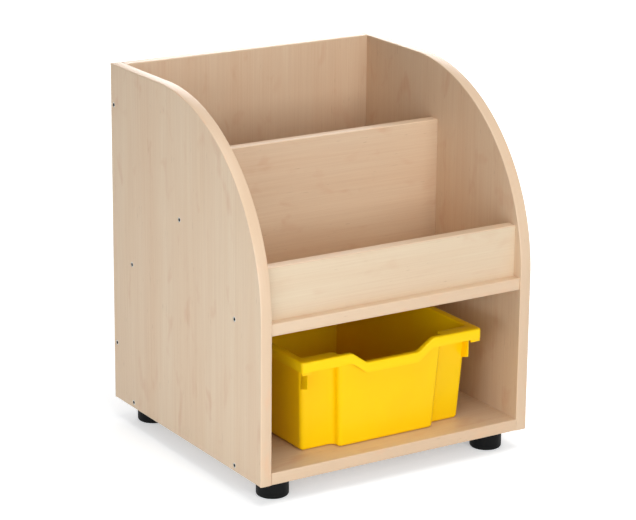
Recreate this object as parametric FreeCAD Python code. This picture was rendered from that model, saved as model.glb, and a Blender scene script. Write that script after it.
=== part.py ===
import FreeCAD, Part
import os
from math import hypot, radians, sqrt, tan

# Picture book browser bin: a low cabinet with two open tiers for picture books above a
# compartment for one pull-out storage tray. Millimetres, +Z up, the open front towards -Y,
# origin on the floor under the middle of the cabinet. Each sub-part is written to
# parts/NODE.step in its place in the cabinet.

V = FreeCAD.Vector
UP = V(0, 0, 1)
TINY = 1e-6

# ---- Cabinet ----
cabinet_width = 464.0        # over the outer faces of the two side panels
cabinet_depth = 440.0        # front edge of a side panel to the cabinet's back face
side_height = 528.0          # side panel, bottom edge to top edge
nose_radius = 288.0          # quarter circle that joins a side's top edge to its front edge
board = 18.0                 # thickness of every board
band = 2.0                   # thickness of every edge band
band_rounding = 1.5          # radius along the two outer edges of a band
middle_shelf_setback = 3.0   # middle shelf's front behind the front edges of the sides
rail_height = 78.0
rail_setback = 18.0          # rail's front face behind the front edges of the sides
divider_height = 195.0
divider_setback = 223.0      # divider's front face behind the front edges of the sides

# ---- Feet ----
foot_height = 32.0
foot_diameter = 48.0
foot_side_inset = 44.0       # foot's centre from the outer face of the side panel
foot_front_inset = 41.0      # foot's centre from the front edge
foot_back_inset = 42.0       # foot's centre from the back face
foot_wall = 3.0
foot_floor = 5.0             # thickness of the foot's bottom
foot_rounding = 4.0          # radius around the bottom of the foot
foot_boss_diameter = 20.0
foot_pocket_depth = 12.0     # pocket in the foot's bottom for the head of its screw

# ---- Foot screws and their inserts ----
bolt_diameter = 6.0
bolt_grip = 10.0             # length of the bolt inside its insert
bolt_head_diameter = 11.0
bolt_head_height = 4.0
bolt_socket = 4.0            # across flats
insert_diameter = 9.0
insert_length = 13.0

# ---- One-piece connecting screws ----
screw_diameter = 5.0
screw_grip = 32.0            # length of the screw inside the board's edge
screw_head_diameter = 8.0
screw_head_rim = 0.8         # straight rim of the head above its cone
screw_head_sink = 0.3        # top of the head below the face of the board
screw_socket = 3.0           # across flats
screw_socket_depth = 2.6
screw_point = 5.0            # length of the tapered point
shelf_screw_front = 74.0     # shelf screw from the front edge of the side
shelf_screw_back = 43.0      # shelf screw in front of the back panel
back_screw_top = 62.0        # back panel screw below the top of the side
back_screw_bottom = 91.0     # back panel screw above the bottom of the side
edge_screw_inset = 64.0      # screw under the rail or the divider, from the side's inner face

# ---- Dowels ----
dowel_diameter = 8.0
dowel_length = 30.0
dowel_cover = 6.0            # board left over the end of a dowel in its face
dowel_from_screw = 40.0      # dowel to the next screw in the same joint
divider_dowel_step = 60.0    # divider dowel above or below the screw
rail_dowel_inset = 20.0      # rail dowel from the top or bottom edge of the rail

# ---- Tray ----
tray_height = 146.5
tray_headroom = 56.0         # free space above the tray in its compartment
tray_gap_left = 63.0         # tray's rim to the left side panel
tray_gap_right = 53.0        # tray's rim to the right side panel
tray_gap_back = 14.0         # tray's rim to the back panel
tray_setback = 21.5          # tray's rim behind the front edges of the sides
tray_wall = 2.5
tray_draft = 3.2             # degrees, all walls
rim_overhang = 10.0          # rim outside the walls at the sides and the back
rim_band = 15.5              # height of the rim's turned-down edge
rim_corner = 5.0
rim_rounding = 1.6
front_overhang = 7.0         # rim in front of the raised middle panel
recess_step = 15.0           # recessed ends of the front behind its middle panel
panel_width = 182.0          # raised middle panel just under the rim
tray_corner = 7.0            # upright corners of the tray
panel_corner = 7.0           # upright corners of the raised panel
base_rounding = 3.0          # around the bottom of the tray, inside and outside
dip_depth = 18.0             # hand dip in the middle of the front
dip_bottom_width = 90.0
dip_top_width = 141.0
dip_bend = 9.0               # radius where the rim bends down into the dip
fin_height = 30.0            # small fins under the front corners of the rim, at the wall
fin_reach = 14.5             # fin in front of the recessed wall
fin_rise = 3.5               # fin's lower edge, from the wall to its front
fin_inset = 2.0              # fin's outer face from the side wall's outer face
tab_height = 4.5             # small tabs beside the fins, below the rim's edge
tab_setback = 9.0            # tab behind the front of the rim

# ---- Clearances ----
hole_clearance = 0.1         # radial, around a screw, dowel, insert or bolt
hole_end_clearance = 0.5     # beyond the end of a screw, dowel or bolt
pocket_clearance = 1.0       # radial, around the head of a foot's screw
tray_floor_clearance = 0.2   # under the tray, so that it slides

# ---- Levels, lengths and faces that follow from the sizes above ----
screw_length = board + screw_grip
dowel_in_face = board - dowel_cover
bolt_length = foot_height - foot_pocket_depth + bolt_grip
outer_x = cabinet_width / 2
inner_x = outer_x - board
front_y = -cabinet_depth / 2
back_y = cabinet_depth / 2
back_inner_y = back_y - board
side_bottom = foot_height
side_top = side_bottom + side_height
floor_top = side_bottom + board
tray_bottom = floor_top + tray_floor_clearance
tray_top = tray_bottom + tray_height
shelf_bottom = tray_top + tray_headroom
shelf_top = shelf_bottom + board
shelf_front = front_y + middle_shelf_setback
rail_front = front_y + rail_setback
rail_middle_y = rail_front + board / 2
rail_top = shelf_top + rail_height
divider_front = front_y + divider_setback
divider_middle_y = divider_front + board / 2
divider_top = shelf_top + divider_height
divider_middle_z = (shelf_top + divider_top) / 2
back_middle_y = back_inner_y + board / 2
nose = min(nose_radius, cabinet_depth - board, side_height - board)
shelf_screw_ys = (front_y + shelf_screw_front, back_inner_y - shelf_screw_back)
shelf_dowel_ys = (shelf_screw_ys[0] + dowel_from_screw, shelf_screw_ys[1] - dowel_from_screw)
floor_middle_z = floor_top - board / 2
shelf_middle_z = shelf_top - board / 2
back_screw_zs = (side_bottom + back_screw_bottom, side_top - back_screw_top)
back_dowel_zs = (back_screw_zs[0] + dowel_from_screw, back_screw_zs[1] - dowel_from_screw)
edge_screw_xs = (-inner_x + edge_screw_inset, 0.0, inner_x - edge_screw_inset)
hole_radius = screw_diameter / 2 + hole_clearance


# ---- Helpers ----
def box(low, high):
    """A block between two corners."""
    size = V(*high) - V(*low)
    return Part.makeBox(size.x, size.y, size.z, V(*low))


def rod(radius, length, start, direction):
    return Part.makeCylinder(radius, length, V(*start), V(*direction))


def cut_all(solid, tools):
    """Cut every tool out of the solid and return one clean solid."""
    return solid.cut(Part.makeCompound(list(tools))).removeSplitter() if tools else solid


def hexagon(flats, depth, top, direction):
    """A hexagonal prism that goes down from its top against the direction."""
    axis = V(*direction)
    side = V(0, 0, 1) if abs(axis.z) < 0.5 else V(1, 0, 0)
    other = axis.cross(side)
    reach = flats / sqrt(3)
    ring = [V(*top) + side * (reach * c) + other * (reach * s) for c, s in
            ((1, 0), (0.5, sqrt(3) / 2), (-0.5, sqrt(3) / 2), (-1, 0), (-0.5, -sqrt(3) / 2),
             (0.5, -sqrt(3) / 2))]
    return Part.Face(Part.makePolygon(ring + ring[:1])).extrude(axis * -depth)


def round_outer_edges(solid, on_outside, radius):
    """Fillet the edges whose middle the test says lie on the outer edges of a band."""
    edges = [e for e in solid.Edges if on_outside(e.valueAt((e.FirstParameter + e.LastParameter) / 2))]
    return solid.makeFillet(radius, edges)


def save(node, *solids):
    """Write one node: one solid, or a group of separate solids of the same kind."""
    shape = solids[0] if len(solids) == 1 else Part.makeCompound(list(solids))
    if not shape.isValid():
        raise ValueError(node + " isn't a valid shape")
    shape.exportStep(os.path.join("parts", node + ".step"))
    print(f"{node}: {len(shape.Solids)} solid(s), {shape.Volume / 1000:.1f} cm3")


# ---- Fasteners and the holes for them ----
class Fixing:
    """A screw or dowel: the face it enters, the way it goes in and the solids that it needs."""

    def __init__(self, entry, way):
        self.entry = V(*entry)
        self.way = V(*way)

    def at(self, depth):
        return self.entry + self.way * depth


def screw(fixing):
    """A one-piece connecting screw with a countersunk head and a hexagon socket."""
    cone = (screw_head_diameter - screw_diameter) / 2
    top = screw_head_sink
    head = rod(screw_head_diameter / 2, screw_head_rim, fixing.at(top), fixing.way)
    neck = Part.makeCone(screw_head_diameter / 2, screw_diameter / 2, cone,
                         fixing.at(top + screw_head_rim), fixing.way)
    shank = rod(screw_diameter / 2, screw_length - screw_point - top, fixing.at(top), fixing.way)
    point = Part.makeCone(screw_diameter / 2, screw_diameter / 5, screw_point,
                          fixing.at(screw_length - screw_point), fixing.way)
    solid = head.fuse([neck, shank, point]).removeSplitter()
    return solid.cut(hexagon(screw_socket, screw_socket_depth, fixing.at(top), fixing.way * -1))


def screw_hole(fixing):
    """The drilled and countersunk space around a screw, with its clearance."""
    cone = (screw_head_diameter - screw_diameter) / 2
    head_radius = screw_head_diameter / 2 + hole_clearance
    head_depth = screw_head_sink + screw_head_rim + hole_clearance
    mouth = rod(head_radius, head_depth + TINY, fixing.at(-TINY), fixing.way)
    sink = Part.makeCone(head_radius, hole_radius, cone, fixing.at(head_depth), fixing.way)
    shaft = rod(hole_radius, screw_length + hole_end_clearance, fixing.entry, fixing.way)
    return mouth.fuse([sink, shaft])


def dowel(fixing):
    """A beech dowel across a joint: its entry point is on the joint face."""
    solid = rod(dowel_diameter / 2, dowel_length, fixing.at(-dowel_in_face), fixing.way)
    ends = [e for e in solid.Edges if e.Closed]
    return solid.makeChamfer(1.0, ends)


def dowel_hole(fixing):
    length = dowel_length + 2 * hole_end_clearance
    start = fixing.at(-dowel_in_face - hole_end_clearance)
    return rod(dowel_diameter / 2 + hole_clearance, length, start, fixing.way)


def side_screws(side):
    """Screws through one side panel: side is -1 for the left panel and 1 for the right."""
    places = [(back_middle_y, z) for z in back_screw_zs]
    places += [(divider_middle_y, divider_middle_z)]
    places += [(y, z) for z in (floor_middle_z, shelf_middle_z) for y in shelf_screw_ys]
    return [Fixing((side * outer_x, y, z), (-side, 0, 0)) for y, z in places]


def side_dowels(side):
    """Dowels between one side panel and the boards that end on it."""
    places = [(back_middle_y, z) for z in back_dowel_zs]
    places += [(divider_middle_y, divider_middle_z + step) for step in
               (-divider_dowel_step, divider_dowel_step)]
    places += [(y, z) for z in (floor_middle_z, shelf_middle_z) for y in shelf_dowel_ys]
    places += [(rail_middle_y, z) for z in (shelf_top + rail_dowel_inset, rail_top - rail_dowel_inset)]
    return [Fixing((side * inner_x, y, z), (-side, 0, 0)) for y, z in places]


def edge_screws(middle_y):
    """Screws up through the middle shelf into the bottom edge of an upright board."""
    return [Fixing((x, middle_y, shelf_bottom), (0, 0, 1)) for x in edge_screw_xs]


def back_dowels():
    """Dowels between the back panel and the back edges of the two shelves."""
    return [Fixing((x, back_inner_y, z), (0, -1, 0))
            for z in (floor_middle_z, shelf_middle_z) for x in edge_screw_xs]


SIDES = {"left": -1, "right": 1}
side_fixings = {name: (side_screws(s), side_dowels(s)) for name, s in SIDES.items()}
all_screws = [f for screws, _ in side_fixings.values() for f in screws]
all_dowels = [f for _, dowels in side_fixings.values() for f in dowels] + back_dowels()
rail_screws = edge_screws(rail_middle_y)
divider_screws = edge_screws(divider_middle_y)
foot_places = {
    "front_left": (-outer_x + foot_side_inset, front_y + foot_front_inset),
    "front_right": (outer_x - foot_side_inset, front_y + foot_front_inset),
    "back_left": (-outer_x + foot_side_inset, back_y - foot_back_inset),
    "back_right": (outer_x - foot_side_inset, back_y - foot_back_inset),
}


def drilled(blank):
    """Drill a board for every screw, dowel and insert that reaches it."""
    tools = [screw_hole(f) for f in all_screws + rail_screws + divider_screws]
    tools += [dowel_hole(f) for f in all_dowels]
    tools += [insert_hole(x, y) for x, y in foot_places.values()]
    return cut_all(blank, [t for t in tools if t.distToShape(blank)[0] < TINY])


# ---- Side panels ----
def side_profile(inset, side):
    """Outline of a side panel, inset all round, as a face in the plane of its outer face."""
    low = side_bottom + inset
    high = side_top - inset
    near = front_y + inset
    far = back_y - inset
    radius = nose - inset
    centre_y = front_y + nose
    centre_z = side_top - nose
    x = side * inner_x
    diagonal = radius / sqrt(2)
    arc = Part.Arc(V(x, near, centre_z), V(x, centre_y - diagonal, centre_z + diagonal),
                   V(x, centre_y, high)).toShape()
    corners = [V(x, centre_y, high), V(x, far, high), V(x, far, low), V(x, near, low),
               V(x, near, centre_z)]
    lines = [Part.makeLine(a, b) for a, b in zip(corners, corners[1:])]
    return Part.Face(Part.Wire([arc] + lines))


def side_blank(inset, side):
    return side_profile(inset, side).extrude(V(side * board, 0, 0))


def side_panel(side):
    return drilled(side_blank(band, side))


def side_bands(side):
    """Edge bands of a side panel: front and top in one strip, then back and bottom strips."""
    ring = side_blank(0, side).cut(side_blank(band, side))
    x_low, x_high = sorted((side * inner_x, side * outer_x))
    back_zone = box((x_low, back_y - band, side_bottom), (x_high, back_y, side_top - band))
    bottom_zone = box((x_low, front_y + band, side_bottom), (x_high, back_y - band, side_bottom + band))
    front = ring.cut(back_zone).cut(bottom_zone).removeSplitter()
    centre = V(0, front_y + nose, side_top - nose)

    def on_front(p):
        at_side = min(abs(p.x - x_low), abs(p.x - x_high)) < TINY
        on_line = abs(p.y - front_y) < TINY or abs(p.z - side_top) < TINY
        on_arc = abs(hypot(p.y - centre.y, p.z - centre.z) - nose) < 1e-4 and p.y < centre.y
        return at_side and (on_line or on_arc)

    def on_back(p):
        return min(abs(p.x - x_low), abs(p.x - x_high)) < TINY and abs(p.y - back_y) < TINY

    def on_bottom(p):
        return min(abs(p.x - x_low), abs(p.x - x_high)) < TINY and abs(p.z - side_bottom) < TINY

    return {
        "front": round_outer_edges(front, on_front, band_rounding),
        "back": round_outer_edges(back_zone, on_back, band_rounding),
        "bottom": round_outer_edges(bottom_zone, on_bottom, band_rounding),
    }


# ---- Boards between the sides ----
def back_panel():
    return drilled(box((-inner_x, back_inner_y, side_bottom), (inner_x, back_y, side_top - band)))


def bottom_shelf():
    return drilled(box((-inner_x, front_y + band, side_bottom), (inner_x, back_inner_y, floor_top)))


def middle_shelf():
    return drilled(box((-inner_x, shelf_front + band, shelf_bottom), (inner_x, back_inner_y, shelf_top)))


def front_rail():
    return drilled(box((-inner_x, rail_front, shelf_top), (inner_x, rail_front + board, rail_top - band)))


def divider_panel():
    high = (inner_x, divider_front + board, divider_top - band)
    return drilled(box((-inner_x, divider_front, shelf_top), high))


def top_band(y_front, top):
    """Band on the top edge of an upright board, rounded along its two upper edges."""
    strip = box((-inner_x, y_front, top - band), (inner_x, y_front + board, top))
    return round_outer_edges(strip, lambda p: abs(p.z - top) < TINY and abs(p.x) < TINY, band_rounding)


def front_band(y_front, bottom):
    """Band on the front edge of a shelf, rounded along its two front edges."""
    strip = box((-inner_x, y_front, bottom), (inner_x, y_front + band, bottom + board))
    return round_outer_edges(strip, lambda p: abs(p.y - y_front) < TINY and abs(p.x) < TINY,
                             band_rounding)


# ---- Feet ----
def foot(x, y):
    """A moulded foot: a cup with a boss for its screw, open towards the shelf above it."""
    radius = foot_diameter / 2
    solid = rod(radius, foot_height, (x, y, 0), UP)
    solid = solid.makeFillet(foot_rounding, [e for e in solid.Edges if e.Closed and e.BoundBox.ZMax < TINY])
    hollow = rod(radius - foot_wall, foot_height, (x, y, foot_floor), UP)
    boss = rod(foot_boss_diameter / 2, foot_height, (x, y, 0), UP)
    solid = solid.cut(hollow).fuse(boss).removeSplitter()
    pocket = rod(bolt_head_diameter / 2 + pocket_clearance, foot_pocket_depth, (x, y, 0), UP)
    shaft = rod(bolt_diameter / 2 + hole_clearance, foot_height, (x, y, 0), UP)
    return solid.cut(pocket.fuse(shaft))


def foot_bolt(x, y):
    """A pan-head machine screw that goes up through a foot into the insert in the shelf."""
    seat = foot_pocket_depth
    head = rod(bolt_head_diameter / 2, bolt_head_height, (x, y, seat - bolt_head_height), UP)
    head = head.makeFillet(1.0, [e for e in head.Edges
                                 if e.Closed and e.BoundBox.ZMax < seat - bolt_head_height + TINY])
    shank = rod(bolt_diameter / 2, bolt_length + TINY, (x, y, seat - TINY), UP)
    socket_top = (x, y, seat - bolt_head_height)
    return head.fuse(shank).cut(hexagon(bolt_socket, bolt_head_height * 0.6, socket_top, (0, 0, -1)))


def insert(x, y):
    """A threaded steel insert in the underside of the bottom shelf."""
    outer = rod(insert_diameter / 2, insert_length, (x, y, side_bottom), UP)
    bore = rod(bolt_diameter / 2 + hole_clearance, insert_length, (x, y, side_bottom), UP)
    return outer.cut(bore)


def insert_hole(x, y):
    depth = max(insert_length, bolt_length + foot_pocket_depth - foot_height) + hole_end_clearance
    return rod(insert_diameter / 2 + hole_clearance, depth, (x, y, side_bottom), UP)


# ---- Tray ----
tray_left = -inner_x + tray_gap_left
tray_right = inner_x - tray_gap_right
tray_front = front_y + tray_setback
tray_back = back_inner_y - tray_gap_back
tray_middle_x = (tray_left + tray_right) / 2


def rounded_wire(corners, z):
    """A closed wire through corners (x, y, radius), each rounded by its own arc."""
    count = len(corners)
    edges = []
    ends = []
    for i, (x, y, radius) in enumerate(corners):
        here = V(x, y, z)
        to_last = V(*corners[i - 1][:2], z) - here
        to_next = V(*corners[(i + 1) % count][:2], z) - here
        to_last.normalize()
        to_next.normalize()
        start = here + to_last * radius
        end = here + to_next * radius
        middle = here + (to_last + to_next) * (radius * (1 - 1 / sqrt(2)))
        edges.append(Part.Arc(start, middle, end).toShape())
        ends.append((start, end))
    lines = [Part.makeLine(ends[i][1], ends[(i + 1) % count][0]) for i in range(count)]
    ordered = [e for pair in zip(edges, lines) for e in pair]
    return Part.Wire(ordered)


def tray_outline(z, wall):
    """Outline of the tray's body at a height, moved inward by a wall: its front has a raised
    middle panel between two recessed ends, and every side leans by the draft."""
    inset = (tray_top - z) * tan(radians(tray_draft)) + wall
    left = tray_left + rim_overhang + inset
    right = tray_right - rim_overhang - inset
    back = tray_back - rim_overhang - inset
    panel_front = tray_front + front_overhang + inset
    recess = panel_front + recess_step
    panel_left = tray_middle_x - panel_width / 2 + inset
    panel_right = tray_middle_x + panel_width / 2 - inset
    outer = tray_corner - wall
    raised = panel_corner - wall
    hollow = panel_corner + wall
    return rounded_wire([
        (left, recess, outer), (panel_left, recess, hollow), (panel_left, panel_front, raised),
        (panel_right, panel_front, raised), (panel_right, recess, hollow), (right, recess, outer),
        (right, back, outer), (left, back, outer)], z)


def tray_loft(low, high, wall):
    return Part.makeLoft([tray_outline(low, wall), tray_outline(high, wall)], True, True)


def rim_block(inset, low, high):
    """The rim's own rounded rectangle, moved inward, as a block between two heights."""
    radius = max(rim_corner - inset, 1.0)
    xs = (tray_left + inset, tray_right - inset)
    ys = (tray_front + inset, tray_back - inset)
    corners = [(xs[0], ys[0], radius), (xs[1], ys[0], radius), (xs[1], ys[1], radius), (xs[0], ys[1], radius)]
    return Part.Face(rounded_wire(corners, low)).extrude(UP * (high - low))


def under_crown(drop):
    """All the space below the tray's top edge, which dips in the middle of the front, moved
    down by a drop."""
    far = cabinet_width
    top = tray_top - drop
    low = top - dip_depth
    half_top = dip_top_width / 2
    half_low = dip_bottom_width / 2
    line = [(-far, top), (-half_top, top), (-half_low, low), (half_low, low), (half_top, top), (far, top)]
    points = [V(tray_middle_x + x, 0, z) for x, z in line]
    path = [points[0]]
    arcs = []
    for a, b, c in zip(points, points[1:], points[2:]):
        u = (a - b).normalize()
        w = (c - b).normalize()
        turn = u.getAngle(w)
        reach = dip_bend / tan(turn / 2)
        bisector = (u + w).normalize()
        nearest = sqrt(dip_bend ** 2 + reach ** 2) - dip_bend
        start = b + u * reach
        end = b + w * reach
        arcs.append((start, b + bisector * nearest, end))
    edges = []
    for start, middle, end in arcs:
        edges.append(Part.makeLine(path[-1], start))
        edges.append(Part.Arc(start, middle, end).toShape())
        path.append(end)
    bottom = side_bottom - board
    corners = [path[-1], points[-1], V(points[-1].x, 0, bottom), V(points[0].x, 0, bottom), points[0]]
    edges += [Part.makeLine(a, b) for a, b in zip(corners, corners[1:])]
    dip_end = tray_front + front_overhang + recess_step
    front = Part.Face(Part.Wire(edges))
    front.translate(V(0, front_y - board, 0))
    front_part = front.extrude(V(0, dip_end - front_y + board, 0))
    rest = box((tray_middle_x - far, dip_end, bottom), (tray_middle_x + far, back_y, top))
    return front_part.fuse(rest)


def round_base(solid, bottom):
    """Round the edges around the bottom of the tray or of the space inside it."""
    radius = min(base_rounding, (panel_corner - tray_wall) * 0.9)
    return solid.makeFillet(radius, [e for e in solid.Edges if e.BoundBox.ZMax < bottom + 1e-3])


def on_rim_edge(p):
    """True on the upper outer edge of the rim, also where it dips and at its corners."""
    to_x = min(abs(p.x - tray_left), abs(p.x - tray_right))
    to_y = min(abs(p.y - tray_front), abs(p.y - tray_back))
    on_side = to_x < TINY or to_y < TINY or (to_x < rim_corner and to_y < rim_corner)
    return on_side and p.z > tray_top - dip_depth - TINY


def fin_faces(side):
    """The rim's edge and the outer and inner x of the fin at one side, just inside the wall."""
    edge = tray_left if side < 0 else tray_right
    lean = (rim_band + fin_height) * tan(radians(tray_draft))
    outer = edge - side * (rim_overhang + lean + fin_inset)
    return edge, outer, outer - side * tray_wall


def corner_fin(side):
    """A fin from under the rim to the recessed wall, at a front corner."""
    _, outer, inner = fin_faces(side)
    x = min(outer, inner)
    wall_y = tray_front + front_overhang + recess_step
    front = wall_y - fin_reach
    back = wall_y + tray_corner + tray_wall
    low = tray_top - rim_band - fin_height
    high = tray_top - tray_wall
    ring = [V(x, front, low + fin_rise), V(x, wall_y, low), V(x, back, low), V(x, back, high), V(x, front, high)]
    return Part.Face(Part.makePolygon(ring + ring[:1])).extrude(V(tray_wall, 0, 0))


def corner_tab(side):
    """A tab across the end of the rim's side, from its outer edge to the fin."""
    edge, _, inner = fin_faces(side)
    outer = edge - side * rim_rounding
    y = tray_front + tab_setback
    low = (min(outer, inner), y, tray_top - rim_band - tab_height)
    return box(low, (max(outer, inner), y + tray_wall, tray_top - tray_wall))


def tray():
    """The moulded tray: walls and floor, a flat rim with a turned-down edge that dips in the
    middle of the front, and a fin and a tab under each front corner."""
    lowest = tray_top - rim_band - dip_depth - tab_height
    above = tray_top + board
    body = tray_loft(tray_bottom, above, 0)
    body = round_base(body, tray_bottom)
    cavity_floor = tray_bottom + tray_wall
    cavity = tray_loft(cavity_floor, above, tray_wall)
    cavity = round_base(cavity, cavity_floor)
    rim = rim_block(0, lowest, above).common(under_crown(0)).removeSplitter()
    rim = round_outer_edges(rim, on_rim_edge, rim_rounding)
    rim = rim.cut(rim_block(tray_wall, lowest, above).common(under_crown(tray_wall)))
    rim = rim.cut(under_crown(rim_band))
    details = [make(side) for make in (corner_fin, corner_tab) for side in SIDES.values()]
    return body.common(under_crown(0)).fuse([rim] + details).cut(cavity).removeSplitter()


# ---- Write every node ----
os.makedirs("parts", exist_ok=True)
for name, side in SIDES.items():
    screws, dowels = side_fixings[name]
    save(name + "_side_panel", side_panel(side))
    for place, strip in side_bands(side).items():
        save(f"{name}_side_{place}_edge_band", strip)
    save(name + "_side_screws", *[screw(f) for f in screws])
    save(name + "_side_dowels", *[dowel(f) for f in dowels])
save("back_panel", back_panel())
save("back_panel_edge_band", top_band(back_inner_y, side_top))
save("bottom_shelf", bottom_shelf())
save("bottom_shelf_edge_band", front_band(front_y, side_bottom))
save("middle_shelf", middle_shelf())
save("middle_shelf_edge_band", front_band(shelf_front, shelf_bottom))
save("front_rail", front_rail())
save("front_rail_edge_band", top_band(rail_front, rail_top))
save("divider_panel", divider_panel())
save("divider_edge_band", top_band(divider_front, divider_top))
save("rail_screws", *[screw(f) for f in rail_screws])
save("divider_screws", *[screw(f) for f in divider_screws])
save("shelf_back_dowels", *[dowel(f) for f in back_dowels()])
for name, (x, y) in foot_places.items():
    save(name + "_foot", foot(x, y))
save("foot_screws", *[foot_bolt(x, y) for x, y in foot_places.values()])
save("foot_inserts", *[insert(x, y) for x, y in foot_places.values()])
save("tray", tray())
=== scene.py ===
# %% [markdown]
# # A picture book browser bin
#
# The bin is a low cabinet of melamine-faced boards: two open tiers hold picture books face
# forward, and a moulded yellow tray slides out of the compartment below. The fixed frame holds
# every board, screw and dowel at its real size. This lesson dresses that frame: it gives the
# boards their maple decor, and models the edge strips, the tray, the feet and the connecting
# screws from primitives, as by hand in edit mode.

# %% Load the frame
import math

import bmesh
import bpy
from mathutils import Matrix, Vector


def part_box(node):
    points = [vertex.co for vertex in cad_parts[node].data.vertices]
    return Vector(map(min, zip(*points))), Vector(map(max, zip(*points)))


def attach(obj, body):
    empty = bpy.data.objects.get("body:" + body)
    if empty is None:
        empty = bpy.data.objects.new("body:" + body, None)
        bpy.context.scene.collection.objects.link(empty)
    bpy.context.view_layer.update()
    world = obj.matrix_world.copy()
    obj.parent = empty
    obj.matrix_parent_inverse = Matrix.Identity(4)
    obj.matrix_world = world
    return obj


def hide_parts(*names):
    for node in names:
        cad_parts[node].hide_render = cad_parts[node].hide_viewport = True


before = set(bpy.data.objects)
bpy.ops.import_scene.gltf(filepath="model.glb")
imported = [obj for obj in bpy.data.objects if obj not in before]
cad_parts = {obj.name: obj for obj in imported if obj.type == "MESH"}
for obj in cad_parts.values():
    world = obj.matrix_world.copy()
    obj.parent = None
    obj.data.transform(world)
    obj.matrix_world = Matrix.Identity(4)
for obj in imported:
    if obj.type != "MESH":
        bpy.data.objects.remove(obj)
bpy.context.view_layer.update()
bpy.ops.object.select_all(action="DESELECT")

# %% [markdown]
# ## The camera
#
# A long lens a few metres away, a little above the cabinet and to its left, keeps the upright
# edges nearly parallel. The place and the three angles are plain values, so the matrix is put
# together from them: first the small roll, then the tilt, then the turn.

# %% Camera
CAMERA_PLACE = (-1.9334, -3.0586, 1.3738)
CAMERA_TURN = math.radians(-32.283)
CAMERA_TILT = math.radians(-16.892)
CAMERA_ROLL = math.radians(0.543)
CAMERA_LENS = 142.64
SENSOR_WIDTH = 36.0
QUARTER = math.radians(90)

camera_data = bpy.data.cameras.new("camera")
camera_data.sensor_width = SENSOR_WIDTH
camera_data.lens = CAMERA_LENS
camera = bpy.data.objects.new("camera", camera_data)
bpy.context.scene.collection.objects.link(camera)
turn = Matrix.Rotation(CAMERA_TURN, 4, "Z")
tilt = Matrix.Rotation(QUARTER + CAMERA_TILT, 4, "X")
roll = Matrix.Rotation(CAMERA_ROLL, 4, "Z")
camera.matrix_world = Matrix.Translation(CAMERA_PLACE) @ turn @ tilt @ roll
bpy.context.scene.camera = camera
print("camera looks along", (camera.matrix_world.to_3x3() @ Vector((0, 0, -1)))[:])

# %% [markdown]
# ## Helpers for nodes
#
# Shader trees are built from the same few moves again and again: add a node, set its values,
# link it. Colours are written as the 0-255 values that a paint chart gives, and turned into
# the linear values that a shader takes. An effect that several materials share is a group of
# nodes with named sockets.


# %% Node helpers
def paint(red, green, blue):
    """A paint-chart colour as the linear colour that a shader takes."""
    parts = [c / 255 for c in (red, green, blue)]
    linear = [p / 12.92 if p <= 0.04045 else ((p + 0.055) / 1.055) ** 2.4 for p in parts]
    return (*linear, 1.0)


def add_node(tree, kind, values=None, **settings):
    """Add a node, set its properties, then set its input sockets by name or number."""
    node = tree.nodes.new(kind)
    for key, value in settings.items():
        setattr(node, key, value)
    for socket, value in (values or {}).items():
        if isinstance(value, bpy.types.NodeSocket):
            tree.links.new(value, node.inputs[socket])
        else:
            node.inputs[socket].default_value = value
    return node


print("node helpers ready")


# %% Texture and colour helpers
def noise(tree, vector, scale, detail=2.0, roughness=0.5, distortion=0.0):
    """The value of a noise texture."""
    node = add_node(tree, "ShaderNodeTexNoise", {
        "Vector": vector, "Scale": scale, "Detail": detail, "Roughness": roughness,
        "Distortion": distortion})
    return node.outputs["Fac"]


def stretched(tree, vector, scale):
    """The same vector with each axis scaled."""
    return add_node(tree, "ShaderNodeMapping", {"Vector": vector, "Scale": scale}).outputs[0]


def ramp(tree, value, low, high, to_low=0.0, to_high=1.0):
    """A value between low and high mapped to the range given, and held at its ends."""
    node = add_node(tree, "ShaderNodeMapRange", {
        "Value": value, "From Min": low, "From Max": high, "To Min": to_low, "To Max": to_high},
        clamp=True)
    return node.outputs[0]


def mix(tree, factor, first, second, blend="MIX"):
    """Two colours mixed by a factor."""
    node = add_node(tree, "ShaderNodeMix", {0: factor, 6: first, 7: second},
                    data_type="RGBA", blend_type=blend)
    return node.outputs[2]


def maths(tree, operation, first, second):
    """Two values put together by one of the Math node's operations."""
    return add_node(tree, "ShaderNodeMath", {0: first, 1: second}, operation=operation).outputs[0]


print("texture and colour helpers ready")


# %% Groups and finishes
def new_group(name, inputs, outputs):
    """A shader node group with named sockets. Returns the group, its input node and output node."""
    group = bpy.data.node_groups.new(name, "ShaderNodeTree")
    for label, kind in inputs:
        group.interface.new_socket(name=label, in_out="INPUT", socket_type=kind)
    for label, kind in outputs:
        group.interface.new_socket(name=label, in_out="OUTPUT", socket_type=kind)
    return group, group.nodes.new("NodeGroupInput"), group.nodes.new("NodeGroupOutput")


def new_finish(name):
    """A material with a Principled shader. Returns the material, its tree and the shader."""
    finish = bpy.data.materials.new(name)
    finish.use_nodes = True
    return finish, finish.node_tree, finish.node_tree.nodes["Principled BSDF"]


print("group and finish helpers ready")

# %% [markdown]
# ## The floor, the background and the lamps
#
# The cabinet stands on a white studio sweep. Whatever looks straight at the world, or sees it
# mirrored or through glass, gets plain white, while its light on the cabinet stays soft and
# moderate: the Light Path node tells these rays apart. The floor is a white matt sheet that
# glows only towards the same rays, so that it reaches pure white. Under the cabinet its glow
# drops, most towards the middle, which paints a shade there on top of the real shadow.

# %% World light
AMBIENT = 0.20
SKY = (0.97, 0.985, 1.0, 1.0)
WHITE = (1.0, 1.0, 1.0, 1.0)
bpy.context.scene.view_settings.view_transform = "Standard"


def seen_white(tree):
    """1 for rays that see the background straight, mirrored or through glass, else 0."""
    path = add_node(tree, "ShaderNodeLightPath").outputs
    straight_or_mirrored = maths(tree, "MAXIMUM", path["Is Camera Ray"], path["Is Glossy Ray"])
    return maths(tree, "MAXIMUM", straight_or_mirrored, path["Is Transmission Ray"])


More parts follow.
